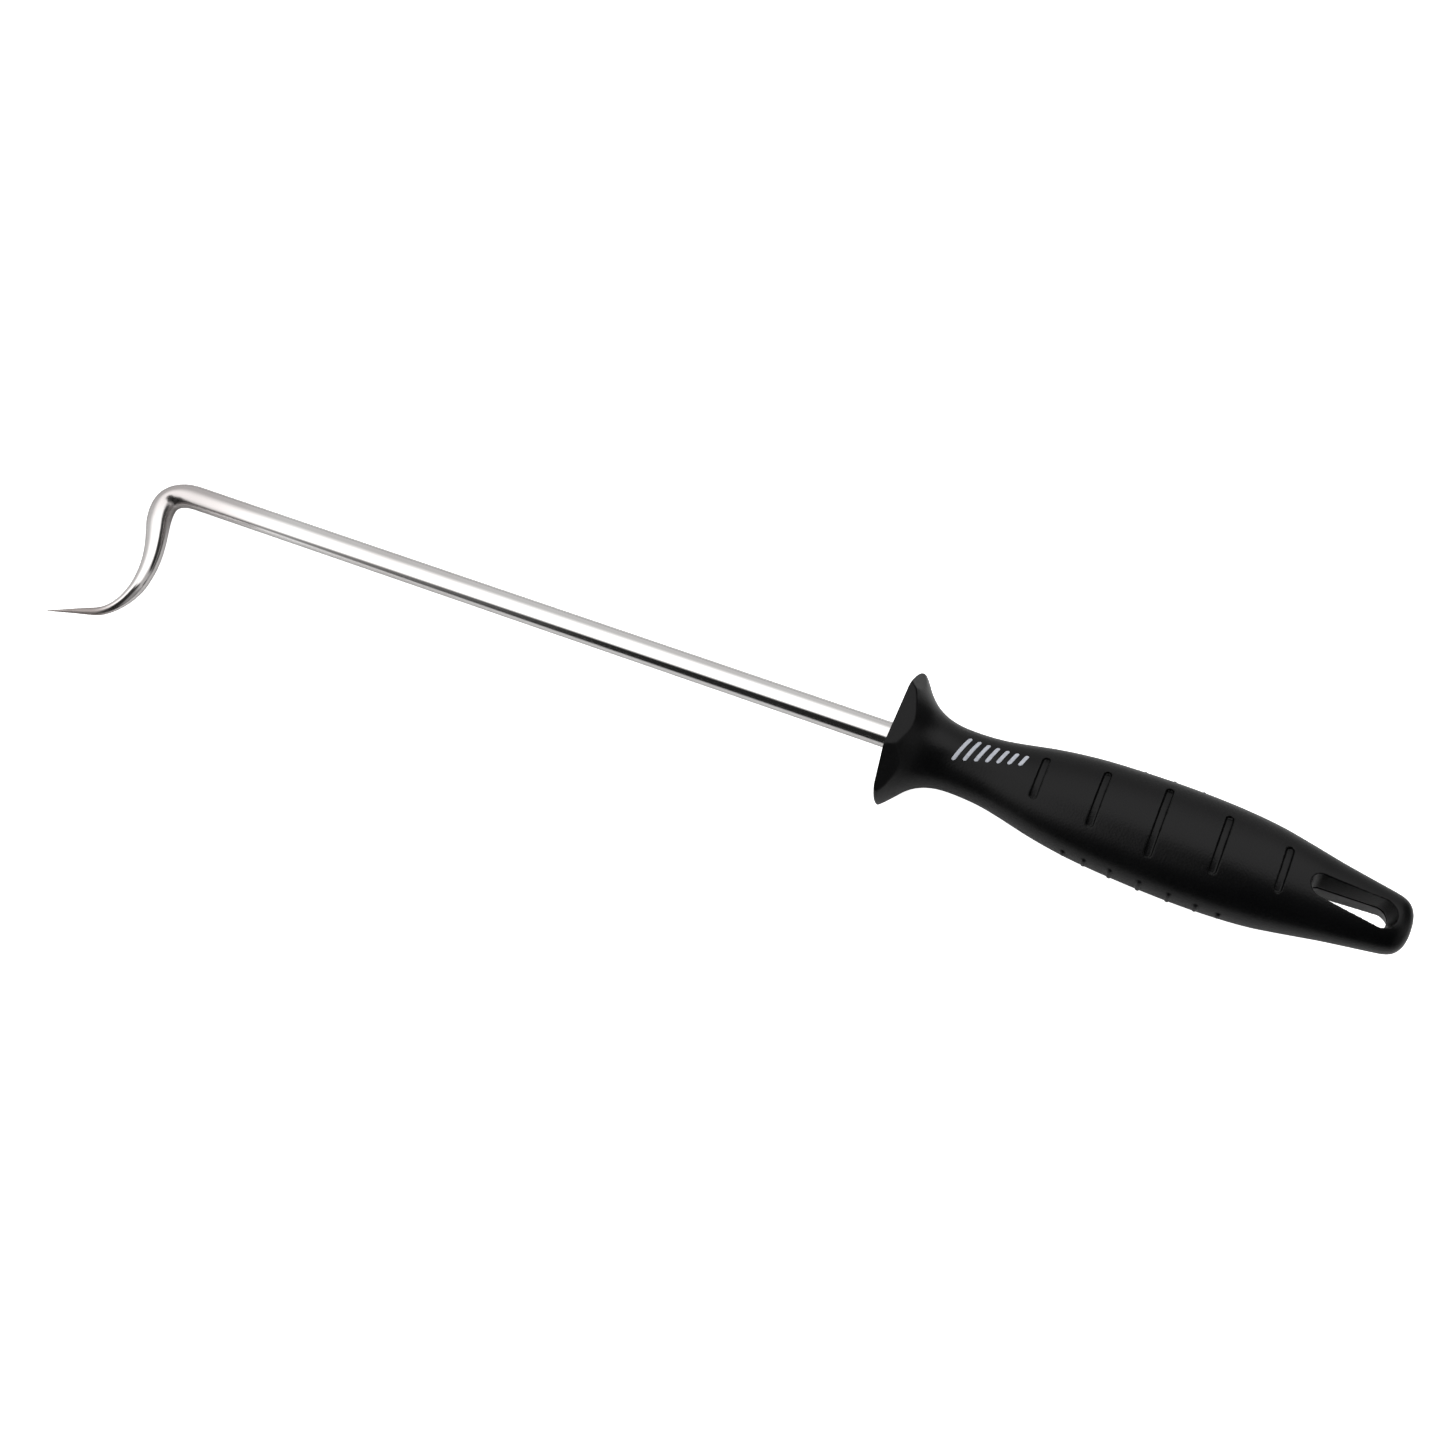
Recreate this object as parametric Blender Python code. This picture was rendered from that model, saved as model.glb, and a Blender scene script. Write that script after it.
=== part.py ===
"""Meat turning hook: a bent, pointed steel rod held in a moulded handle.

The rod lies along X with the handle at +X, the hook bends towards -Y, and the
handle's broad faces look up and down. The object lies flat with +Z up.
All lengths below are in millimetres; the mesh is made in metres.
"""
import math

import bmesh
import bpy
import numpy as np

# ---------------------------------------------------------------- dimensions
MM = 0.001
GAP = 0.3                     # clearance between touching pieces
CHAMFER = 0.8                 # on the ends of the tang and the core

# where the guard's front face, on the rod's axis, lies in the frame
FACE_X = 67.57
AXIS_Y = 17.47
AXIS_Z = 17.9

ROD_R = 4.0                   # rod radius
ROD_SEGS = 24
TANG_LEN = 100.0              # tang length inside the handle
# hook: centre line x, y from the guard's front face, and diameter there
HOOK = [
    (-251.0, 0.0, 8), (-255.0, 0.0, 8), (-258.6, -0.6, 8), (-261.9, -2.2, 8),
    (-263.7, -4.9, 8.1), (-263.7, -8.4, 8.1), (-262.4, -12.6, 7.9), (-260.3, -16.9, 7.3),
    (-258.3, -21.2, 6.7), (-256.8, -25.3, 6.2), (-255.8, -29.5, 5.7), (-255.4, -33.1, 5.3),
    (-255.4, -36.5, 4.9), (-256.0, -39.6, 4.4), (-257.1, -42.7, 3.8), (-258.8, -45.5, 3.3),
    (-260.9, -47.7, 2.95), (-263.4, -49.3, 2.75), (-266.5, -50.4, 2.4), (-271.1, -51.9, 1.7),
    (-276.0, -53.6, 0.95), (-280.8, -55.2, 0.3),
]

# inner core: a sleeve round the tang, held by a cross pin
CORE_R = 6.9
CORE_SEGS = 32
CORE_X0, CORE_X1 = 4.0, 107.0
PIN_X = 84.0
PIN_R = 1.5
PIN_LEN = 12.6

# handle: x, half width (Y), half thickness (Z), from the guard's front face
SET = 0.0335                  # the handle's middle drops this much per mm
STATIONS = [
    (0.00, 19.8, 19.8), (0.30, 20.2, 20.2), (0.8, 20.3, 20.3), (1.3, 20.0, 20.0),
    (2.0, 19.2, 19.2), (2.9, 18.05, 18.05), (3.8, 16.8, 16.8), (5.0, 15.35, 15.35),
    (6.5, 13.85, 13.85), (8.3, 12.45, 12.45), (10.3, 11.35, 11.35), (12.5, 10.5, 10.5),
    (15.5, 9.85, 9.8), (19.0, 9.6, 9.5), (24.0, 9.65, 9.5), (29.0, 10.05, 9.7),
    (34.0, 10.9, 10.1), (39.0, 11.95, 10.6), (44.0, 13.0, 11.1), (50.0, 14.0, 11.65),
    (57.0, 14.85, 12.1), (65.0, 15.4, 12.4), (75.0, 15.8, 12.5), (85.0, 15.9, 12.5),
    (94.0, 15.65, 12.4), (102.0, 15.1, 12.0), (108.0, 14.4, 11.4), (113.5, 13.4, 10.6),
    (119.0, 12.3, 9.7), (125.0, 11.1, 8.6), (131.0, 10.05, 7.8), (136.5, 9.1, 7.3),
    (140.5, 8.35, 7.0), (142.6, 7.65, 6.5), (144.1, 6.5, 5.5), (145.2, 4.6, 3.9),
    (145.7, 2.4, 2.0),
]
RINGS = 48                    # points round the handle
ROUND_FROM, ROUND_TO = 15.0, 45.0   # the section goes from round to squarer here
SQUARE = 2.25                 # superellipse power over the belly

# anti-roll flats on the guard: six sloping planes. Each has an angle from +Y,
# a distance from the axis at the front face, and how fast it closes in
FLATS = [
    (42.0, 19.3, 0.80), (90.0, 17.9, 0.60), (138.0, 19.3, 0.80),
    (222.0, 19.3, 0.80), (270.0, 17.9, 0.60), (318.0, 19.3, 0.80),
]
FLAT_END = 8.0

# recessed slots across both broad faces
SLOT_X = 76.9
SLOT_PITCH = 17.0
SLOT_HALF = [6.5, 8.6, 10.5, 8.7, 6.7]
SLOT_W = 2.1
SLOT_DEEP = 1.0

# short raised ribs on both narrow edges
RIB_X = 77.0
RIB_AT = [-22.0, -15.8, -8.3, 0.0, 8.3, 15.8, 22.0]
RIB_HALF = [1.6, 2.4, 3.1, 3.5, 3.1, 2.4, 1.6]
RIB_R = 0.75
RIB_OUT = 0.4

# hanging slot through the tail
HANG_X0, HANG_X1 = 118.0, 142.0
HANG_W0, HANG_W1 = 3.7, 4.35  # half widths near the two ends, at the mouths
HANG_Y0, HANG_Y1 = 0.2, -0.5  # its middle, from the handle's middle line
HANG_NARROW = 0.45            # how much narrower it is at mid thickness


# ------------------------------------------------------------------- helpers
def place(x, y, z):
    """A point given from the guard's front face, in metres in the frame."""
    return ((FACE_X + x) * MM, (AXIS_Y + y) * MM, (AXIS_Z + z) * MM)


def add_object(name, bm, smooth=True):
    bmesh.ops.recalc_face_normals(bm, faces=bm.faces[:])
    mesh = bpy.data.meshes.new(name)
    bm.to_mesh(mesh)
    bm.free()
    for poly in mesh.polygons:
        poly.use_smooth = smooth
    obj = bpy.data.objects.new(name, mesh)
    bpy.context.scene.collection.objects.link(obj)
    return obj


def loft(name, rings, smooth=True):
    """A closed body through rings of points, with flat ends."""
    bm = bmesh.new()
    made = [[bm.verts.new(place(*p)) for p in ring] for ring in rings]
    count = len(rings[0])
    for a, b in zip(made[:-1], made[1:]):
        for i in range(count):
            j = (i + 1) % count
            bm.faces.new((a[i], a[j], b[j], b[i]))
    bm.faces.new(made[0][::-1])
    bm.faces.new(made[-1])
    return add_object(name, bm, smooth)


def circle(x, radius, count, turn=0.0):
    """A ring round the rod's axis."""
    out = []
    for i in range(count):
        a = 2 * math.pi * i / count + turn
        out.append((x, radius * math.cos(a), radius * math.sin(a)))
    return out


def material(obj, name, colour, roughness, metallic):
    mat = bpy.data.materials.new(name)
    mat.use_nodes = True
    shader = mat.node_tree.nodes["Principled BSDF"]
    shader.inputs["Base Color"].default_value = (*colour, 1.0)
    shader.inputs["Roughness"].default_value = roughness
    shader.inputs["Metallic"].default_value = metallic
    obj.data.materials.append(mat)


def boolean(obj, cutter, operation):
    mod = obj.modifiers.new(operation.lower() + "_" + cutter.name, "BOOLEAN")
    mod.operation = operation
    mod.solver = "EXACT"
    mod.object = cutter
    cutter.hide_render = True
    cutter.display_type = "WIRE"


# ---------------------------------------------------------------------- rod
def hook_rings():
    """Rings along the hook's centre line, square to its direction."""
    pts = np.array([(p[0], p[1]) for p in HOOK])
    dia = [p[2] for p in HOOK]
    rings = []
    for k in range(len(pts)):
        a = pts[max(k - 1, 0)]
        b = pts[min(k + 1, len(pts) - 1)]
        d = (b - a) / np.linalg.norm(b - a)
        if k == 0:
            d = np.array((-1.0, 0.0))
        side = np.array((d[1], -d[0]))
        ring = []
        for i in range(ROD_SEGS):
            t = 2 * math.pi * i / ROD_SEGS
            r = dia[k] / 2
            q = pts[k] + side * r * math.cos(t)
            ring.append((q[0], q[1], r * math.sin(t)))
        rings.append(ring)
    return rings


def build_rod():
    rings = [
        circle(TANG_LEN, ROD_R - CHAMFER, ROD_SEGS),
        circle(TANG_LEN - CHAMFER, ROD_R, ROD_SEGS),
    ]
    for x in (60.0, 0.0, -65.0, -130.0, -195.0):
        rings.append(circle(x, ROD_R, ROD_SEGS))
    rod = loft("hook_rod", rings + hook_rings())
    hole = loft("cut_tang_hole", pin_rings(PIN_R + GAP, 2 * ROD_R + 4.0))
    boolean(rod, hole, "DIFFERENCE")
    material(rod, "rod_steel", (0.72, 0.70, 0.68), 0.12, 1.0)
    return rod


def pin_rings(radius, length, count=16):
    """Two rings of an upright cylinder across the tang."""
    rings = []
    for z in (-length / 2, length / 2):
        ring = []
        for i in range(count):
            t = 2 * math.pi * i / count
            ring.append((PIN_X + radius * math.cos(t), radius * math.sin(t), z))
        rings.append(ring)
    return rings


def build_pin():
    pin = loft("tang_pin", pin_rings(PIN_R, PIN_LEN))
    material(pin, "pin_steel", (0.60, 0.60, 0.60), 0.3, 1.0)
    return pin


def build_core():
    rings = [
        circle(CORE_X0, CORE_R - CHAMFER, CORE_SEGS), circle(CORE_X0 + CHAMFER, CORE_R, CORE_SEGS),
        circle(CORE_X1 - CHAMFER, CORE_R, CORE_SEGS), circle(CORE_X1, CORE_R - CHAMFER, CORE_SEGS),
    ]
    core = loft("handle_core", rings)
    bore = loft("cut_core_bore", [
        circle(CORE_X0 - 3.0, ROD_R + GAP, ROD_SEGS),
        circle(TANG_LEN + GAP, ROD_R + GAP, ROD_SEGS),
    ])
    hole = loft("cut_core_pin", pin_rings(PIN_R + GAP, 2 * CORE_R + 4.0))
    boolean(core, bore, "DIFFERENCE")
    boolean(core, hole, "DIFFERENCE")
    material(core, "core_plastic", (0.06, 0.06, 0.065), 0.5, 0.0)
    return core


# -------------------------------------------------------------------- handle
def middle(x):
    """The handle's middle line across Y, at x."""
    return -SET * max(x - 2.0, 0.0)


def section(x, half_y, half_z):
    blend = min(max((x - ROUND_FROM) / (ROUND_TO - ROUND_FROM), 0.0), 1.0)
    power = 2.0 + (SQUARE - 2.0) * blend
    out = []
    for i in range(RINGS):
        t = 2 * math.pi * i / RINGS
        c = math.cos(t)
        s = math.sin(t)
        y = half_y * math.copysign(abs(c) ** (2 / power), c)
        z = half_z * math.copysign(abs(s) ** (2 / power), s)
        out.append((x, middle(x) + y, z))
    return out


def half_sizes(x):
    """Half width and half thickness of the handle at x."""
    xs = [s[0] for s in STATIONS]
    return (float(np.interp(x, xs, [s[1] for s in STATIONS])),
            float(np.interp(x, xs, [s[2] for s in STATIONS])))


def flat_corner(first, second, x):
    """Where two neighbouring flats meet, at x."""
    rows = []
    reach = []
    for angle, dist, slope in (first, second):
        a = math.radians(angle)
        rows.append((math.cos(a), math.sin(a)))
        reach.append(dist - slope * x)
    y, z = np.linalg.solve(np.array(rows), np.array(reach))
    return (x, float(y), float(z))


def guard_collar():
    """Everything outside the sloping flats, as one cutter."""
    count = len(FLATS)
    bm = bmesh.new()
    rings = []
    for x in (-2.0, FLAT_END):
        ring = [flat_corner(FLATS[i], FLATS[(i + 1) % count], x) for i in range(count)]
        rings.append([bm.verts.new(place(*p)) for p in ring])
    for x in (-2.0, FLAT_END):
        rings.append([bm.verts.new(place(*p)) for p in circle(x, 45.0, count, math.radians(66.0))])
    in0, in1, out0, out1 = rings
    for i in range(count):
        j = (i + 1) % count
        bm.faces.new((in0[i], in0[j], in1[j], in1[i]))
        bm.faces.new((out0[i], out1[i], out1[j], out0[j]))
        bm.faces.new((in0[i], out0[i], out0[j], in0[j]))
        bm.faces.new((in1[i], in1[j], out1[j], out1[i]))
    return add_object("cut_guard_flats", bm, False)


def stadium(x0, x1, half0, half1, count):
    """An outline with round ends along X, wider at one end."""
    out = []
    for i in range(count + 1):
        t = math.pi / 2 + math.pi * i / count
        out.append((x0 + half0 + half0 * math.cos(t), half0 * math.sin(t)))
    for i in range(count + 1):
        t = -math.pi / 2 + math.pi * i / count
        out.append((x1 - half1 + half1 * math.cos(t), half1 * math.sin(t)))
    return out


def hang_shift(x):
    """How far the hanging slot's middle lies from the handle's."""
    return HANG_Y0 + (HANG_Y1 - HANG_Y0) * (x - HANG_X0) / (HANG_X1 - HANG_X0)


def cross_slot(name, x, half, side):
    """One recess across a broad face, following its curve."""
    half_y, half_z = half_sizes(x)
    steps = 8
    rings = []
    for k in range(-steps, steps + 1):
        y = half * k / steps
        floor = half_z * (1 - (abs(y) / half_y) ** SQUARE) ** (1 / SQUARE) - SLOT_DEEP
        r = SLOT_W / 2
        back = half - abs(y)
        if back < r:
            r = max(math.sqrt(max(r * r - (r - back) ** 2, 0.0)), 0.25)
        ring = [(x - r, floor), (x + r, floor), (x + r, half_z + 2), (x - r, half_z + 2)]
        rings.append([(px, middle(x) + y, side * pz) for px, pz in ring])
    return loft(name, rings, False)


def rib(name, x, half, side):
    """One short raised bar on a narrow edge, along Z."""
    half_y, half_z = half_sizes(x)
    rings = []
    steps = 6
    for k in range(-steps, steps + 1):
        z = half * math.sin(math.pi / 2 * k / steps)
        edge = half_y * (1 - (abs(z) / half_z) ** SQUARE) ** (1 / SQUARE)
        r = RIB_R * math.sqrt(max(1 - (k / steps) ** 2, 0.0)) + 0.12
        out = edge + RIB_OUT * r / RIB_R - r
        ring = []
        for i in range(10):
            t = 2 * math.pi * i / 10
            ring.append((x + r * math.cos(t), middle(x) + side * (out + r * math.sin(t)), z))
        rings.append(ring)
    return loft(name, rings)


def build_handle():
    grip = loft("handle_grip", [section(*s) for s in STATIONS])
    boolean(grip, guard_collar(), "DIFFERENCE")
    # room for the rod and, behind it, for the core
    rod_r = ROD_R + GAP
    core_r = CORE_R + GAP
    front, back = CORE_X0 - GAP, CORE_X1 + GAP
    sizes = [
        (-3.0, rod_r), (front, rod_r), (front + 0.001, core_r - CHAMFER), (front + CHAMFER, core_r),
        (back - CHAMFER, core_r), (back, core_r - CHAMFER),
    ]
    cavity = loft("cut_grip_cavity", [circle(x, radius, CORE_SEGS) for x, radius in sizes])
    boolean(grip, cavity, "DIFFERENCE")
    for side, word in ((1, "top"), (-1, "under")):
        for n, half in enumerate(SLOT_HALF):
            x = SLOT_X + SLOT_PITCH * (n - 2)
            boolean(grip, cross_slot("cut_slot_%s_%d" % (word, n + 1), x, half, side), "DIFFERENCE")
    # the slot through the tail is narrowest at mid thickness
    rings = []
    for z, narrow in ((-11.0, -0.25), (0.0, HANG_NARROW), (11.0, -0.25)):
        outline = stadium(HANG_X0 + narrow, HANG_X1 - narrow, HANG_W0 - narrow, HANG_W1 - narrow, 8)
        rings.append([(x, y + middle(x) + hang_shift(x), z) for x, y in outline])
    boolean(grip, loft("cut_hanging_slot", rings), "DIFFERENCE")
    for side, word in ((1, "back"), (-1, "front")):
        for n, at in enumerate(RIB_AT):
            boolean(grip, rib("add_rib_%s_%d" % (word, n + 1), RIB_X + at, RIB_HALF[n], side), "UNION")
    material(grip, "grip_plastic", (0.012, 0.012, 0.014), 0.45, 0.0)
    return grip


def main():
    for obj in list(bpy.data.objects):
        bpy.data.objects.remove(obj, do_unlink=True)
    build_rod()
    build_pin()
    build_core()
    build_handle()


main()
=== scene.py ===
"""Looks of the meat turning hook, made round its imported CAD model."""
import math

import bmesh
import bpy
import numpy as np
from mathutils import Matrix, Vector
from mathutils.bvhtree import BVHTree


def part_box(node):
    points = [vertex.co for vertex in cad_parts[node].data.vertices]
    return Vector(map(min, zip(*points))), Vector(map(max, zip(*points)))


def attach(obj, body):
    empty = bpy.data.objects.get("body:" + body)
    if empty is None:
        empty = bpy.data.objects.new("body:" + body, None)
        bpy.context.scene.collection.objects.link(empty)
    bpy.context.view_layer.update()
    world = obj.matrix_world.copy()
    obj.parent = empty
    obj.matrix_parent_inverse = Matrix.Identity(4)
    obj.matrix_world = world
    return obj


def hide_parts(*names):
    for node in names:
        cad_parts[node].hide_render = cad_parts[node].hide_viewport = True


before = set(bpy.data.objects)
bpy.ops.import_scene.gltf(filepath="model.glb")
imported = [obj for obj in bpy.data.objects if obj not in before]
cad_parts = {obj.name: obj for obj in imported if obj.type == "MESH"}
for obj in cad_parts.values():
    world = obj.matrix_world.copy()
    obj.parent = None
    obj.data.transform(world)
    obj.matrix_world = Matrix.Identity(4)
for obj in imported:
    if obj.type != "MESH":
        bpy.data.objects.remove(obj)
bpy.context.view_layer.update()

MM = 0.001
# the guard's front face on the rod's axis, read from the CAD boxes
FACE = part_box("handle_grip")[0][0]
core_lo, core_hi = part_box("handle_core")
AXIS = Vector((0.0, (core_lo[1] + core_hi[1]) / 2, (core_lo[2] + core_hi[2]) / 2))


def place(x, y, z):
    """Millimetres from the guard's front face, to metres in the frame."""
    return (FACE + x * MM, AXIS.y + y * MM, AXIS.z + z * MM)


# ----------------------------- dimensions, in mm from the guard's front face
GAP = 0.3                     # between the grip and what it holds
CHAMFER = 0.8                 # on the ends of the tang and the core
ROD_R = 4.0
TANG_LEN = 100.0
CORE_R = 6.9
CORE_X0, CORE_X1 = 4.0, 107.0
# hook: centre line x, y and diameter there
HOOK = [
    (-251.0, 0.0, 8.0), (-255.0, -0.05, 8.0), (-258.6, -0.6, 8.0), (-261.9, -2.2, 8.0),
    (-263.7, -4.9, 8.1), (-263.7, -8.4, 8.1), (-262.4, -12.6, 7.9), (-260.3, -16.9, 7.3),
    (-258.3, -21.2, 6.7), (-256.8, -25.3, 6.2), (-255.8, -29.5, 5.7), (-255.4, -33.1, 5.3),
    (-255.4, -36.5, 4.9), (-256.0, -39.6, 4.4), (-257.1, -42.7, 3.8), (-258.8, -45.5, 3.3),
    (-260.9, -47.7, 2.95), (-263.4, -49.3, 2.75), (-266.5, -50.4, 2.4), (-271.1, -51.9, 1.7),
    (-276.0, -53.6, 0.95), (-280.8, -55.2, 0.3),
]
SET = 0.0335                  # the handle's middle drops this much per mm
# handle: x, half width (Y), half thickness (Z)
STATIONS = [
    (0.00, 19.8, 19.8), (0.30, 20.2, 20.2), (0.8, 20.3, 20.3), (1.3, 20.0, 20.0),
    (2.0, 19.2, 19.2), (2.9, 18.05, 18.05), (3.8, 16.8, 16.8), (5.0, 15.35, 15.35),
    (6.5, 13.85, 13.85), (8.3, 12.45, 12.45), (10.3, 11.35, 11.35), (12.5, 10.5, 10.5),
    (15.5, 9.85, 9.8), (19.0, 9.6, 9.5), (24.0, 9.65, 9.5), (29.0, 10.05, 9.7),
    (34.0, 10.9, 10.1), (39.0, 11.95, 10.6), (44.0, 13.0, 11.1), (50.0, 14.0, 11.65),
    (57.0, 14.85, 12.1), (65.0, 15.4, 12.4), (75.0, 15.8, 12.5), (85.0, 15.9, 12.5),
    (94.0, 15.65, 12.4), (102.0, 15.1, 12.0), (108.0, 14.4, 11.4), (113.5, 13.4, 10.6),
    (119.0, 12.3, 9.7), (125.0, 11.1, 8.6), (131.0, 10.05, 7.8), (136.5, 9.1, 7.3),
    (140.5, 8.35, 7.0), (142.6, 7.65, 6.5), (144.1, 6.5, 5.5), (145.2, 4.6, 3.9),
    (145.7, 2.4, 2.0),
]
# anti-roll flats on the guard: angle from +Y, distance from the axis at the
# front face, and how fast each closes in
FLATS = [
    (42.0, 19.95, 0.80), (90.0, 17.1, 0.38), (138.0, 18.8, 0.70),
    (222.0, 18.8, 0.70), (270.0, 17.1, 0.38), (318.0, 19.95, 0.80),
]
FLAT_END = 9.0                # behind this the flats no longer reach the handle
FLAT_BLEND = 0.12             # how softly a flat runs into the round rim
ROUND_FROM, ROUND_TO = 15.0, 45.0   # the section goes from round to squarer here
SQUARE = 2.25                 # superellipse power over the belly
# recessed slots across both broad faces
SLOT_X, SLOT_PITCH = 76.9, 17.0
SLOT_HALF = [6.5, 8.6, 10.5, 8.7, 6.7]
SLOT_W, SLOT_DEEP = 2.1, 1.0
# short raised ribs on both narrow edges
RIB_X = 77.0
RIB_AT = [-22.0, -15.8, -8.3, 0.0, 8.3, 15.8, 22.0]
RIB_HALF = [1.6, 2.4, 3.1, 3.5, 3.1, 2.4, 1.6]
RIB_R, RIB_OUT = 0.8, 0.6
# hanging slot through the tail
HANG_X0, HANG_X1 = 118.0, 142.0
HANG_W0, HANG_W1 = 3.25, 4.35  # half widths near its two ends
HANG_Y0, HANG_Y1 = 0.2, -0.5  # its middle, from the handle's middle line
HANG_NARROW = 0.9             # how much narrower it is beside the parting groove
GROOVE_HALF = 0.45
VOXEL = 0.23                  # the moulding's even mesh


# ----------------------------------------------------------------- helpers
def add_object(name, bm, smooth=True):
    bmesh.ops.recalc_face_normals(bm, faces=bm.faces[:])
    mesh = bpy.data.meshes.new(name)
    bm.to_mesh(mesh)
    bm.free()
    for poly in mesh.polygons:
        poly.use_smooth = smooth
    obj = bpy.data.objects.new(name, mesh)
    bpy.context.scene.collection.objects.link(obj)
    return obj


def loft(name, rings, smooth=True, uv=False):
    """A closed body through rings of points. With uv, u runs along it in decimetres."""
    bm = bmesh.new()
    made = [[bm.verts.new(place(*p)) for p in ring] for ring in rings]
    count = len(rings[0])
    layer = bm.loops.layers.uv.new("UVMap") if uv else None
    middles = [np.mean(np.array(r), axis=0) for r in rings]
    steps = [np.linalg.norm(b - a) for a, b in zip(middles, middles[1:])]
    along = np.concatenate([[0.0], np.cumsum(steps)])
    for k, (a, b) in enumerate(zip(made[:-1], made[1:])):
        for i in range(count):
            j = (i + 1) % count
            face = bm.faces.new((a[i], a[j], b[j], b[i]))
            if uv:
                spots = ((i, k), (i + 1, k), (i + 1, k + 1), (i, k + 1))
                for loop, (u, v) in zip(face.loops, spots):
                    loop[layer].uv = (along[v] / 100.0, u / count)
    bm.faces.new(made[0][::-1])
    bm.faces.new(made[-1])
    return add_object(name, bm, smooth)


def circle(x, radius, count):
    steps = [2 * math.pi * i / count for i in range(count)]
    return [(x, radius * math.cos(a), radius * math.sin(a)) for a in steps]


def spline(rows, per):
    """Catmull-Rom through rows of numbers."""
    rows = np.array(rows, float)
    ext = np.vstack([2 * rows[0] - rows[1], rows, 2 * rows[-1] - rows[-2]])
    out = []
    for i in range(1, len(ext) - 2):
        p0, p1, p2, p3 = ext[i - 1:i + 3]
        for k in range(per):
            t = k / per
            out.append(0.5 * (2 * p1 + (p2 - p0) * t + (2 * p0 - 5 * p1 + 4 * p2 - p3) * t * t
                              + (3 * p1 - p0 - 3 * p2 + p3) * t ** 3))
    out.append(rows[-1])
    return np.array(out)


def keep_boolean(obj, cutter, operation):
    mod = obj.modifiers.new(operation.lower(), "BOOLEAN")
    mod.operation = operation
    mod.solver = "EXACT"
    mod.object = cutter


def bake(obj):
    """Turns the object's modifiers into its mesh."""
    deps = bpy.context.evaluated_depsgraph_get()
    mesh = bpy.data.meshes.new_from_object(obj.evaluated_get(deps))
    obj.modifiers.clear()
    old = obj.data
    obj.data = mesh
    bpy.data.meshes.remove(old)


# --------------------------------------------------------------------- rod
def build_rod():
    segs = 72
    rings = [circle(TANG_LEN, ROD_R - CHAMFER, segs), circle(TANG_LEN - CHAMFER, ROD_R, segs)]
    for x in np.arange(TANG_LEN - 10.0, HOOK[0][0], -10.0):
        rings.append(circle(float(x), ROD_R, segs))
    line = spline(HOOK, 8)
    for k, (x, y, dia) in enumerate(line):
        a = line[max(k - 1, 0)][:2]
        b = line[min(k + 1, len(line) - 1)][:2]
        d = (b - a) / np.linalg.norm(b - a)
        side = np.array((d[1], -d[0]))
        ring = []
        for i in range(segs):
            t = 2 * math.pi * i / segs
            q = np.array((x, y)) + side * dia / 2 * math.cos(t)
            ring.append((q[0], q[1], dia / 2 * math.sin(t)))
        rings.append(ring)
    return loft("rod_polished", rings, uv=True)


# -------------------------------------------------------------------- grip
def middle(x):
    """The handle's middle line across Y, at x."""
    return -SET * max(x - 2.0, 0.0)


PROFILE = spline(STATIONS, 10)


def half_sizes(x):
    """Half width and half thickness of the handle at x."""
    return (float(np.interp(x, PROFILE[:, 0], PROFILE[:, 1])),
            float(np.interp(x, PROFILE[:, 0], PROFILE[:, 2])))


def soft_min(a, b, k):
    """The smaller of two values, with the change from one to the other rounded off."""
    h = max(k - abs(a - b), 0.0) / k
    return min(a, b) - h * h * k / 4


def grip_section(x, half_y, half_z, count):
    """A ring round the handle, cut by the flats near the guard's front."""
    blend = min(max((x - ROUND_FROM) / (ROUND_TO - ROUND_FROM), 0.0), 1.0)
    blend = blend * blend * (3 - 2 * blend)
    power = 2.0 + (SQUARE - 2.0) * blend
    ring = []
    for i in range(count):
        t = 2 * math.pi * i / count
        c, s = math.cos(t), math.sin(t)
        y = half_y * math.copysign(abs(c) ** (2 / power), c)
        z = half_z * math.copysign(abs(s) ** (2 / power), s)
        if x < FLAT_END:
            r = math.hypot(y, z)
            full = r
            for angle, dist, slope in FLATS:
                face = math.cos(t - math.radians(angle))
                if face > 0.5:    # only a flat within 60 degrees can cut here
                    r = soft_min(r, (dist - slope * x) / face, FLAT_BLEND)
            y, z = y * r / full, z * r / full
        ring.append((x, middle(x) + y, z))
    return ring


def stadium(x0, x1, half0, half1, count):
    """An outline with round ends along X, wider at one end."""
    out = []
    for i in range(count + 1):
        t = math.pi / 2 + math.pi * i / count
        out.append((x0 + half0 + half0 * math.cos(t), half0 * math.sin(t)))
    for i in range(count + 1):
        t = -math.pi / 2 + math.pi * i / count
        out.append((x1 - half1 + half1 * math.cos(t), half1 * math.sin(t)))
    return out


def cross_slot(x, half, side):
    """One recess across a broad face, following its curve."""
    half_y, half_z = half_sizes(x)
    steps = 40
    rings = []
    for k in range(-steps, steps + 1):
        y = half * math.sin(math.pi / 2 * k / steps)
        floor = half_z * (1 - (abs(y) / half_y) ** SQUARE) ** (1 / SQUARE) - SLOT_DEEP
        r = SLOT_W / 2
        back = half - abs(y)
        if back < r:
            r = max(math.sqrt(max(r * r - (r - back) ** 2, 0.0)), 0.05)
        ring = [(x - r, floor), (x + r, floor), (x + r, half_z + 2), (x - r, half_z + 2)]
        rings.append([(px, middle(x) + y, side * pz) for px, pz in ring])
    return loft("slot", rings, False)


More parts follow.
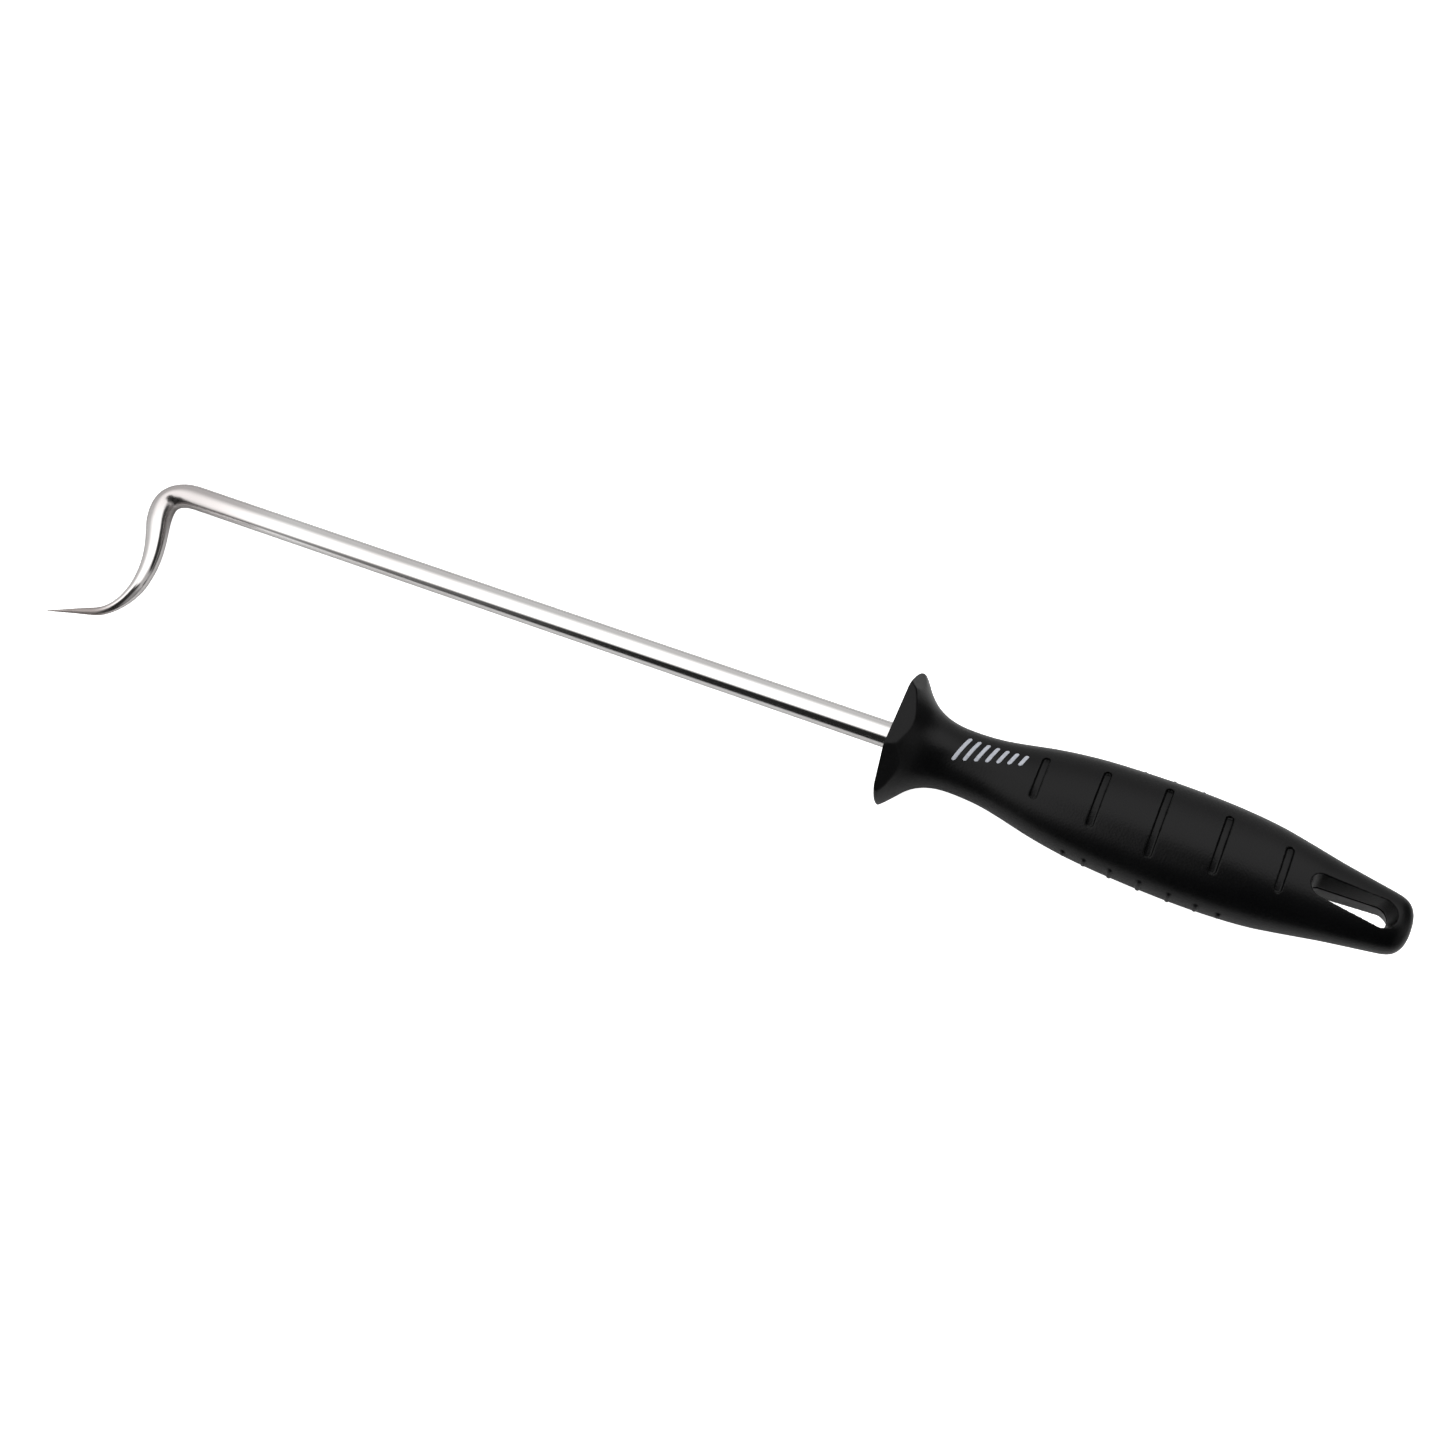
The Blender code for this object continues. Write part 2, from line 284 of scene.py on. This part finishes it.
def rib(x, half, side):
    """One short raised bar on a narrow edge."""
    half_y, half_z = half_sizes(x)
    rings = []
    steps = 14
    for k in range(-steps, steps + 1):
        z = half * math.sin(math.pi / 2 * k / steps)
        edge = half_y * (1 - (abs(z) / half_z) ** SQUARE) ** (1 / SQUARE)
        r = RIB_R * math.sqrt(max(1 - (k / steps) ** 2, 0.0)) + 0.05
        out = edge + RIB_OUT * r / RIB_R - r
        ring = []
        for i in range(20):
            t = 2 * math.pi * i / 20
            ring.append((x + r * math.cos(t), middle(x) + side * (out + r * math.sin(t)), z))
        rings.append(ring)
    return loft("rib", rings)


def cavity():
    """Room in the grip for the rod and, behind it, for the core."""
    rod_r, core_r = ROD_R + GAP, CORE_R + GAP
    front, back = CORE_X0 - GAP, CORE_X1 + GAP
    sizes = [
        (-3.0, rod_r), (front, rod_r), (front + 0.001, core_r - CHAMFER), (front + CHAMFER, core_r),
        (back - CHAMFER, core_r), (back, core_r - CHAMFER),
    ]
    return loft("cavity", [circle(x, radius, 64) for x, radius in sizes])


def hanging_slot():
    """The slot through the tail. The two mould halves taper in to a fine parting groove."""
    # height, how much narrower, and how much shorter at the tail's end
    levels = [
        (-11.0, 0.05, -0.4), (-GROOVE_HALF, HANG_NARROW, 1.5), (0.0, 0.35, 0.9),
        (GROOVE_HALF, HANG_NARROW, 1.5), (11.0, 0.05, -0.4),
    ]
    rings = []
    for z, narrow, end in levels:
        x0, x1 = HANG_X0 + narrow, HANG_X1 - narrow - end
        ring = []
        for x, y in stadium(x0, x1, HANG_W0 - narrow, HANG_W1 - narrow, 40):
            shift = HANG_Y0 + (HANG_Y1 - HANG_Y0) * (x - HANG_X0) / (HANG_X1 - HANG_X0)
            ring.append((x, y + middle(x) + shift, z))
        rings.append(ring)
    return loft("hang", rings)


def even_out(obj):
    """One even mesh with rounded edges, in place of the joined and cut solids."""
    remesh = obj.modifiers.new("even", "REMESH")
    remesh.mode = "VOXEL"
    remesh.voxel_size = VOXEL * MM
    remesh.use_smooth_shade = True
    soft = obj.modifiers.new("soft", "SMOOTH")
    soft.factor = 0.5
    soft.iterations = 2
    fewer = obj.modifiers.new("fewer", "DECIMATE")
    fewer.ratio = 0.4
    bake(obj)
    for poly in obj.data.polygons:
        poly.use_smooth = True


def build_grip():
    # rings are closest on the guard and the rounded tail
    xs = np.concatenate([
        np.linspace(0.0, 2.0, 14, endpoint=False), np.linspace(2.0, 14.0, 60, endpoint=False),
        np.linspace(14.0, 140.0, 126, endpoint=False), np.linspace(140.0, STATIONS[-1][0], 26),
    ])
    grip = loft("grip_moulding", [grip_section(float(x), *half_sizes(x), 180) for x in xs])
    cutters = [(cavity(), "DIFFERENCE")]
    for side in (1, -1):
        for n, half in enumerate(SLOT_HALF):
            cutters.append((cross_slot(SLOT_X + SLOT_PITCH * (n - 2), half, side), "DIFFERENCE"))
    cutters.append((hanging_slot(), "DIFFERENCE"))
    for side in (1, -1):
        for at, half in zip(RIB_AT, RIB_HALF):
            cutters.append((rib(RIB_X + at, half, side), "UNION"))
    for cutter, operation in cutters:
        keep_boolean(grip, cutter, operation)
    even_out(grip)
    for cutter, _ in cutters:
        bpy.data.objects.remove(cutter, do_unlink=True)
    return grip


# ------------------------------------------------ plain pattern on the neck
MARK_X0, MARK_STEP = 19.6, 2.9
MARK_Y0, MARK_RISE = -0.3, 0.36
MARK_LENGTHS = [8.2, 7.3, 6.4, 5.6, 4.9, 4.3, 3.8]
MARK_WIDTH, MARK_LEAN = 1.15, 0.32
MARK_HIGH, MARK_DEEP = 0.05, 0.15   # above and below the moulding's surface
ABOVE = 0.06                  # a height in metres that is clear of the handle


def build_mark(grip):
    """A row of leaning bars that shrinks toward the slots, laid on the moulding."""
    tree = BVHTree.FromObject(grip, bpy.context.evaluated_depsgraph_get())
    bm = bmesh.new()
    across, along = 6, 24
    for n, length in enumerate(MARK_LENGTHS):
        x0, y0 = MARK_X0 + MARK_STEP * n, MARK_Y0 + MARK_RISE * n
        top, low = [], []
        for j in range(along + 1):
            t = (2 * j / along - 1) * length / 2
            back = length / 2 - abs(t)
            half = MARK_WIDTH / 2
            if back < half:
                half = max(math.sqrt(max(half * half - (half - back) ** 2, 0.0)), 0.06)
            upper, under = [], []
            for i in range(across + 1):
                s = (2 * i / across - 1) * half
                x, y, _ = place(x0 + s + MARK_LEAN * t, y0 + t, 0)
                spot, normal, _, _ = tree.ray_cast(Vector((x, y, ABOVE)), Vector((0, 0, -1)))
                upper.append(bm.verts.new(spot + normal * MARK_HIGH * MM))
                under.append(bm.verts.new(spot - normal * MARK_DEEP * MM))
            top.append(upper)
            low.append(under)
        for j in range(along):
            for i in range(across):
                bm.faces.new((top[j][i], top[j][i + 1], top[j + 1][i + 1], top[j + 1][i]))
                bm.faces.new((low[j][i], low[j + 1][i], low[j + 1][i + 1], low[j][i + 1]))
            bm.faces.new((top[j][0], top[j + 1][0], low[j + 1][0], low[j][0]))
            bm.faces.new((top[j][-1], low[j][-1], low[j + 1][-1], top[j + 1][-1]))
        for i in range(across):
            bm.faces.new((top[0][i], low[0][i], low[0][i + 1], top[0][i + 1]))
            bm.faces.new((top[-1][i], top[-1][i + 1], low[-1][i + 1], low[-1][i]))
    return add_object("neck_mark", bm)


# --------------------------------------------------------------- materials
def new_material(name):
    mat = bpy.data.materials.new(name)
    mat.use_nodes = True
    tree = mat.node_tree
    shader = tree.nodes["Principled BSDF"]
    return mat, tree, shader


def node(tree, kind, **values):
    """A new node, with each value set on its socket or, failing that, on the node."""
    made = tree.nodes.new(kind)
    for key, value in values.items():
        if key in made.inputs:
            made.inputs[key].default_value = value
        else:
            setattr(made, key, value)
    return made


def ramp(tree, source, stops):
    """A colour ramp fed by source. Each stop is a position and a colour."""
    made = tree.nodes.new("ShaderNodeValToRGB")
    while len(made.color_ramp.elements) < len(stops):
        made.color_ramp.elements.new(0.5)
    for element, (at, colour) in zip(made.color_ramp.elements, stops):
        element.position = at
        element.color = (*colour, 1.0)
    tree.links.new(source, made.inputs["Fac"])
    return made


def spread(tree, source, lo, hi):
    """A value between lo and hi, by source."""
    made = node(tree, "ShaderNodeMapRange")
    made.inputs["To Min"].default_value = lo
    made.inputs["To Max"].default_value = hi
    tree.links.new(source, made.inputs["Value"])
    return made.outputs["Result"]


def add_bump(tree, shader, height, strength, distance):
    made = node(tree, "ShaderNodeBump", Strength=strength, Distance=distance)
    tree.links.new(height, made.inputs["Height"])
    tree.links.new(made.outputs["Normal"], shader.inputs["Normal"])


def steel_material():
    """Polished along its length and rougher where it was bent. Painted shade darkens its colour over
    the bend. Ground near the point, with a duller and darker tone there.
    """
    mat, tree, shader = new_material("polished_steel")
    link = tree.links.new
    shader.inputs["Metallic"].default_value = 1.0
    coord = node(tree, "ShaderNodeUVMap")
    coord.uv_map = "UVMap"
    stretch = node(tree, "ShaderNodeMapping")
    stretch.inputs["Scale"].default_value = (1.2, 60.0, 1.0)
    link(coord.outputs["UV"], stretch.inputs["Vector"])
    lines = node(tree, "ShaderNodeTexNoise", Scale=3.0, Detail=6.0, Roughness=0.65)
    link(stretch.outputs["Vector"], lines.inputs["Vector"])
    object_at = node(tree, "ShaderNodeTexCoord")
    cloud = node(tree, "ShaderNodeTexNoise", Scale=22.0, Detail=3.0, Roughness=0.5)
    link(object_at.outputs["Object"], cloud.inputs["Vector"])
    tint = ramp(tree, cloud.outputs["Fac"], [
        (0.30, (0.80, 0.79, 0.78)), (0.55, (0.76, 0.74, 0.73)), (0.75, (0.70, 0.67, 0.655))])
    # from 0 at the tang's end to 0.87 at the point
    length = node(tree, "ShaderNodeSeparateXYZ")
    link(coord.outputs["UV"], length.inputs["Vector"])
    share = node(tree, "ShaderNodeMath", operation="MULTIPLY")
    link(length.outputs["X"], share.inputs[0])
    share.inputs[1].default_value = 0.2
    # painted shade: the colour darkens over the bend; near the point it darkens for the duller ground
    # steel
    bend_shade_point_tone = ramp(tree, share.outputs["Value"], [
        (0.640, (1.0, 1.0, 1.0)), (0.695, (0.80, 0.77, 0.77)), (0.730, (0.72, 0.69, 0.69)),
        (0.755, (0.95, 0.94, 0.94)), (0.815, (0.92, 0.90, 0.90)), (0.830, (0.55, 0.51, 0.50))])
    shade = node(tree, "ShaderNodeMix", data_type="RGBA", blend_type="MULTIPLY")
    shade.inputs["Factor"].default_value = 1.0
    link(tint.outputs["Color"], shade.inputs[6])
    link(bend_shade_point_tone.outputs["Color"], shade.inputs[7])
    link(shade.outputs[2], shader.inputs["Base Color"])
    dull = ramp(tree, share.outputs["Value"], [
        (0.650, (0.0, 0.0, 0.0)), (0.700, (0.16, 0.16, 0.16)), (0.735, (0.14, 0.14, 0.14)),
        (0.765, (0.03, 0.03, 0.03)), (0.815, (0.05, 0.05, 0.05)), (0.830, (0.42, 0.42, 0.42))])
    both = node(tree, "ShaderNodeMath", operation="ADD")
    link(spread(tree, lines.outputs["Fac"], 0.05, 0.13), both.inputs[0])
    link(dull.outputs["Color"], both.inputs[1])
    link(both.outputs["Value"], shader.inputs["Roughness"])
    add_bump(tree, shader, lines.outputs["Fac"], 0.05, 0.0001)
    return mat


def grip_material(name, dark, light, rough_lo, rough_hi):
    """Black moulded plastic with a fine grain and pits."""
    mat, tree, shader = new_material(name)
    link = tree.links.new
    coord = node(tree, "ShaderNodeTexCoord")
    cloud = node(tree, "ShaderNodeTexNoise", Scale=60.0, Detail=5.0, Roughness=0.6)
    link(coord.outputs["Object"], cloud.inputs["Vector"])
    colour = ramp(tree, cloud.outputs["Fac"], [(0.3, dark), (0.7, light)])
    link(colour.outputs["Color"], shader.inputs["Base Color"])
    grain = node(tree, "ShaderNodeTexNoise", Scale=2600.0, Detail=3.0, Roughness=0.6)
    link(coord.outputs["Object"], grain.inputs["Vector"])
    pits = node(tree, "ShaderNodeTexVoronoi", Scale=1900.0)
    link(coord.outputs["Object"], pits.inputs["Vector"])
    link(spread(tree, cloud.outputs["Fac"], rough_lo, rough_hi), shader.inputs["Roughness"])
    mix = node(tree, "ShaderNodeMath", operation="MULTIPLY_ADD")
    link(grain.outputs["Fac"], mix.inputs[0])
    mix.inputs[1].default_value = 0.6
    link(pits.outputs["Distance"], mix.inputs[2])
    add_bump(tree, shader, mix.outputs["Value"], 0.35, 0.00006)
    shader.inputs["Specular IOR Level"].default_value = 0.19
    return mat


def ink_material():
    """Pale print, slightly uneven where it is thin."""
    mat, tree, shader = new_material("pale_print")
    link = tree.links.new
    coord = node(tree, "ShaderNodeTexCoord")
    cloud = node(tree, "ShaderNodeTexNoise", Scale=900.0, Detail=4.0, Roughness=0.6)
    link(coord.outputs["Object"], cloud.inputs["Vector"])
    colour = ramp(tree, cloud.outputs["Fac"], [
        (0.30, (0.42, 0.44, 0.49)), (0.50, (0.52, 0.54, 0.60)), (0.75, (0.56, 0.58, 0.64))])
    link(colour.outputs["Color"], shader.inputs["Base Color"])
    link(spread(tree, cloud.outputs["Fac"], 0.45, 0.65), shader.inputs["Roughness"])
    add_bump(tree, shader, cloud.outputs["Fac"], 0.2, 0.00002)
    return mat


def turned_steel_material():
    """Plain turned steel with fine rings."""
    mat, tree, shader = new_material("turned_steel")
    link = tree.links.new
    shader.inputs["Metallic"].default_value = 1.0
    coord = node(tree, "ShaderNodeTexCoord")
    squeeze = node(tree, "ShaderNodeMapping")
    squeeze.inputs["Scale"].default_value = (200.0, 3500.0, 200.0)
    link(coord.outputs["Object"], squeeze.inputs["Vector"])
    rings = node(tree, "ShaderNodeTexNoise", Scale=1.0, Detail=3.0)
    link(squeeze.outputs["Vector"], rings.inputs["Vector"])
    colour = ramp(tree, rings.outputs["Fac"], [
        (0.3, (0.46, 0.46, 0.46)), (0.7, (0.60, 0.60, 0.59))])
    link(colour.outputs["Color"], shader.inputs["Base Color"])
    link(spread(tree, rings.outputs["Fac"], 0.25, 0.45), shader.inputs["Roughness"])
    add_bump(tree, shader, rings.outputs["Fac"], 0.2, 0.00003)
    return mat


# ------------------------------------------------------------------- build
rod = build_rod()
rod.data.materials.append(steel_material())
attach(rod, "root")
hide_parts("hook_rod")

grip = build_grip()
grip.data.materials.append(grip_material(
    "moulded_black", (0.0016, 0.0016, 0.0018), (0.0028, 0.0028, 0.0031), 0.28, 0.37))
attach(grip, "root")
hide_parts("handle_grip")

mark = build_mark(grip)
mark.data.materials.append(ink_material())
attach(mark, "root")

# what stays inside the handle keeps its CAD mesh and gets a real finish
hidden = {
    "tang_pin": turned_steel_material(),
    "handle_core": grip_material(
        "moulded_core", (0.020, 0.020, 0.021), (0.034, 0.034, 0.036), 0.48, 0.62),
}
for name, mat in hidden.items():
    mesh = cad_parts[name].data
    mesh.materials.clear()
    mesh.materials.append(mat)


# ------------------------------------------------------- floor, light, camera
FLOOR_HALF = 3.0              # in metres, as are the next two
FLOOR_CLEAR = 0.0004          # how far it lies below the guard's rim
FLOOR_REACH = 0.33            # its slope would meet the rod's underside here, past the point


def floor_material():
    """White to the camera. For everything else a pale satin paper, lit and shaded by the tent."""
    mat, tree, shader = new_material("floor_white")
    seen = node(tree, "ShaderNodeLightPath").outputs["Is Camera Ray"]
    coord = node(tree, "ShaderNodeTexCoord")
    cloud = node(tree, "ShaderNodeTexNoise", Scale=3.0, Detail=2.0)
    tree.links.new(coord.outputs["Object"], cloud.inputs["Vector"])
    colour = ramp(tree, cloud.outputs["Fac"], [
        (0.0, (0.84, 0.84, 0.84)), (1.0, (0.87, 0.87, 0.87))])
    tree.links.new(colour.outputs["Color"], shader.inputs["Base Color"])
    shader.inputs["Roughness"].default_value = 0.9
    shader.inputs["Emission Color"].default_value = (1.0, 1.0, 1.0, 1.0)
    tree.links.new(seen, shader.inputs["Emission Strength"])
    # along its surface the paper mirrors the tent, but not for the camera
    satin = node(tree, "ShaderNodeBsdfGlossy", Roughness=0.12)
    facing = node(tree, "ShaderNodeLayerWeight", Blend=0.5)
    grazing = node(tree, "ShaderNodeMapRange", interpolation_type="SMOOTHSTEP")
    grazing.inputs["From Min"].default_value = 0.45
    grazing.inputs["From Max"].default_value = 0.80
    tree.links.new(facing.outputs["Facing"], grazing.inputs["Value"])
    amount = node(tree, "ShaderNodeMix", data_type="FLOAT")
    tree.links.new(seen, amount.inputs["Factor"])
    tree.links.new(grazing.outputs["Result"], amount.inputs["A"])
    amount.inputs["B"].default_value = 0.0
    mix = node(tree, "ShaderNodeMixShader")
    tree.links.new(amount.outputs["Result"], mix.inputs[0])
    tree.links.new(shader.outputs[0], mix.inputs[1])
    tree.links.new(satin.outputs[0], mix.inputs[2])
    tree.links.new(mix.outputs[0], tree.nodes["Material Output"].inputs["Surface"])
    return mat


def build_floor():
    """It lies just under the guard's rim and slopes up toward the hook, staying below it."""
    bm = bmesh.new()
    spots = ((-1, -1), (1, -1), (1, 1), (-1, 1))
    bm.faces.new([bm.verts.new((x * FLOOR_HALF, y * FLOOR_HALF, 0.0)) for x, y in spots])
    floor = add_object("floor", bm, False)
    rise = math.asin((AXIS.z - ROD_R * MM) / FLOOR_REACH)
    floor.matrix_world = Matrix.Translation((FACE, 0.0, -FLOOR_CLEAR)) @ Matrix.Rotation(rise, 4, "Y")
    floor.data.materials.append(floor_material())


# The studio is a tent whose brightness depends on the direction alone. Each row
# is a smooth step: the way it faces, where it starts and ends along that way,
# and the value before and after it.
CAMERA_SIDE = ((-0.99, 0.679, 0.41), -0.042, 0.198, 0.012, 1.0)      # dark
CAMERA_SIDE_TURN = -0.15      # it stops following X beyond this
OPENING = ((0.12, -0.40, 0.909), 0.865, 0.935, 0.0, 1.0)             # the camera's own
OPENING_EDGE = ((1.0, 0.0, 0.0), -0.20, -0.08, 0.0, 0.98)
SECOND_OPENING = ((0.604, -0.29, 0.74), 0.90, 0.955, 0.0, 0.98)
TOP_TO_BOTTOM = ((-0.734, 0.679, -1.0), -0.60, 0.25, 1.66, 0.68)     # brightest on top
TAIL_SHADE = ((1.0, 0.0, 0.0), 0.50, 0.80, 1.0, 0.35)
HOOK_WALL = ((-1.0, 0.0, 0.0), 0.34, 0.66, 0.0, 0.42)                # never darker than this
TAIL_WALL = ((1.0, 0.0, 0.0), 0.55, 0.85, 0.0, 0.32)
DARK_CORNER = ((0.72, 0.66, 0.22), 0.895, 0.95, 1.0, 0.04)


def graded(tree, direction, facing, lo, hi, to_lo, to_hi):
    """A smooth step in brightness, by how far a direction leans one way."""
    lean = node(tree, "ShaderNodeVectorMath", operation="DOT_PRODUCT")
    tree.links.new(direction, lean.inputs[0])
    lean.inputs[1].default_value = facing
    step = node(tree, "ShaderNodeMapRange", interpolation_type="SMOOTHSTEP")
    for key, value in (("From Min", lo), ("From Max", hi), ("To Min", to_lo), ("To Max", to_hi)):
        step.inputs[key].default_value = value
    tree.links.new(lean.outputs["Value"], step.inputs["Value"])
    return step.outputs["Result"]


def combine(tree, operation, first, *others):
    for other in others:
        made = node(tree, "ShaderNodeMath", operation=operation)
        tree.links.new(first, made.inputs[0])
        tree.links.new(other, made.inputs[1])
        first = made.outputs["Value"]
    return first


def turned_direction(tree, direction):
    """The direction, with its X held at or below CAMERA_SIDE_TURN."""
    parts = node(tree, "ShaderNodeSeparateXYZ")
    tree.links.new(direction, parts.inputs["Vector"])
    held = node(tree, "ShaderNodeMath", operation="MINIMUM")
    tree.links.new(parts.outputs["X"], held.inputs[0])
    held.inputs[1].default_value = CAMERA_SIDE_TURN
    joined = node(tree, "ShaderNodeCombineXYZ")
    tree.links.new(held.outputs["Value"], joined.inputs["X"])
    tree.links.new(parts.outputs["Y"], joined.inputs["Y"])
    tree.links.new(parts.outputs["Z"], joined.inputs["Z"])
    return joined.outputs["Vector"]


def build_world():
    """A white tent lit from above, with the dark opening that the camera looks through."""
    world = bpy.data.worlds.new("studio")
    world.use_nodes = True
    tree = world.node_tree
    direction = node(tree, "ShaderNodeTexCoord").outputs["Generated"]

    def part(row):
        return graded(tree, direction, *row)

    camera_side = graded(tree, turned_direction(tree, direction), *CAMERA_SIDE)
    hole = combine(tree, "MULTIPLY", part(OPENING), part(OPENING_EDGE))
    hole = combine(tree, "MAXIMUM", hole, part(SECOND_OPENING))
    solid = node(tree, "ShaderNodeMath", operation="SUBTRACT")
    solid.inputs[0].default_value = 1.0
    tree.links.new(hole, solid.inputs[1])
    lit = combine(tree, "MULTIPLY", camera_side, solid.outputs["Value"],
                  part(TOP_TO_BOTTOM), part(TAIL_SHADE))
    glow = combine(tree, "MAXIMUM", lit, part(HOOK_WALL), part(TAIL_WALL))
    glow = combine(tree, "MULTIPLY", glow, part(DARK_CORNER))
    seen = node(tree, "ShaderNodeLightPath").outputs["Is Camera Ray"]
    paper = node(tree, "ShaderNodeMix", data_type="FLOAT")
    tree.links.new(seen, paper.inputs["Factor"])
    tree.links.new(glow, paper.inputs["A"])
    paper.inputs["B"].default_value = 1.0
    tree.links.new(paper.outputs["Result"], tree.nodes["Background"].inputs["Strength"])
    tree.nodes["Background"].inputs["Color"].default_value = (1.0, 1.0, 1.0, 1.0)
    bpy.context.scene.world = world


# where the camera stands: azimuth 0 looks along +Y, lengths in metres
LOOK_AT = (0.01656, 0.00406, 0.0179)
AZIMUTH, ELEVATION, ROLL = 42.288, 63.803, -19.838
DISTANCE = 0.4763
SENSOR, LENS = 36.0, 39.86    # mm


def build_camera():
    data = bpy.data.cameras.new("camera")
    data.sensor_width = SENSOR
    data.lens = LENS
    obj = bpy.data.objects.new("camera", data)
    bpy.context.scene.collection.objects.link(obj)
    a, e, turn = math.radians(AZIMUTH), math.radians(ELEVATION), math.radians(ROLL)
    back = Vector((math.sin(a) * math.cos(e), -math.cos(a) * math.cos(e), math.sin(e)))
    flat = Vector((0, 0, 1)).cross(back).normalized()
    right = flat * math.cos(turn) + back.cross(flat) * math.sin(turn)
    up = back.cross(right)
    obj.matrix_world = Matrix((
        (right.x, up.x, back.x, 0.0), (right.y, up.y, back.y, 0.0),
        (right.z, up.z, back.z, 0.0), (0.0, 0.0, 0.0, 1.0)))
    obj.location = Vector(LOOK_AT) + back * DISTANCE
    bpy.context.scene.camera = obj


build_floor()
build_world()
build_camera()
bpy.context.scene.view_settings.view_transform = "Standard"
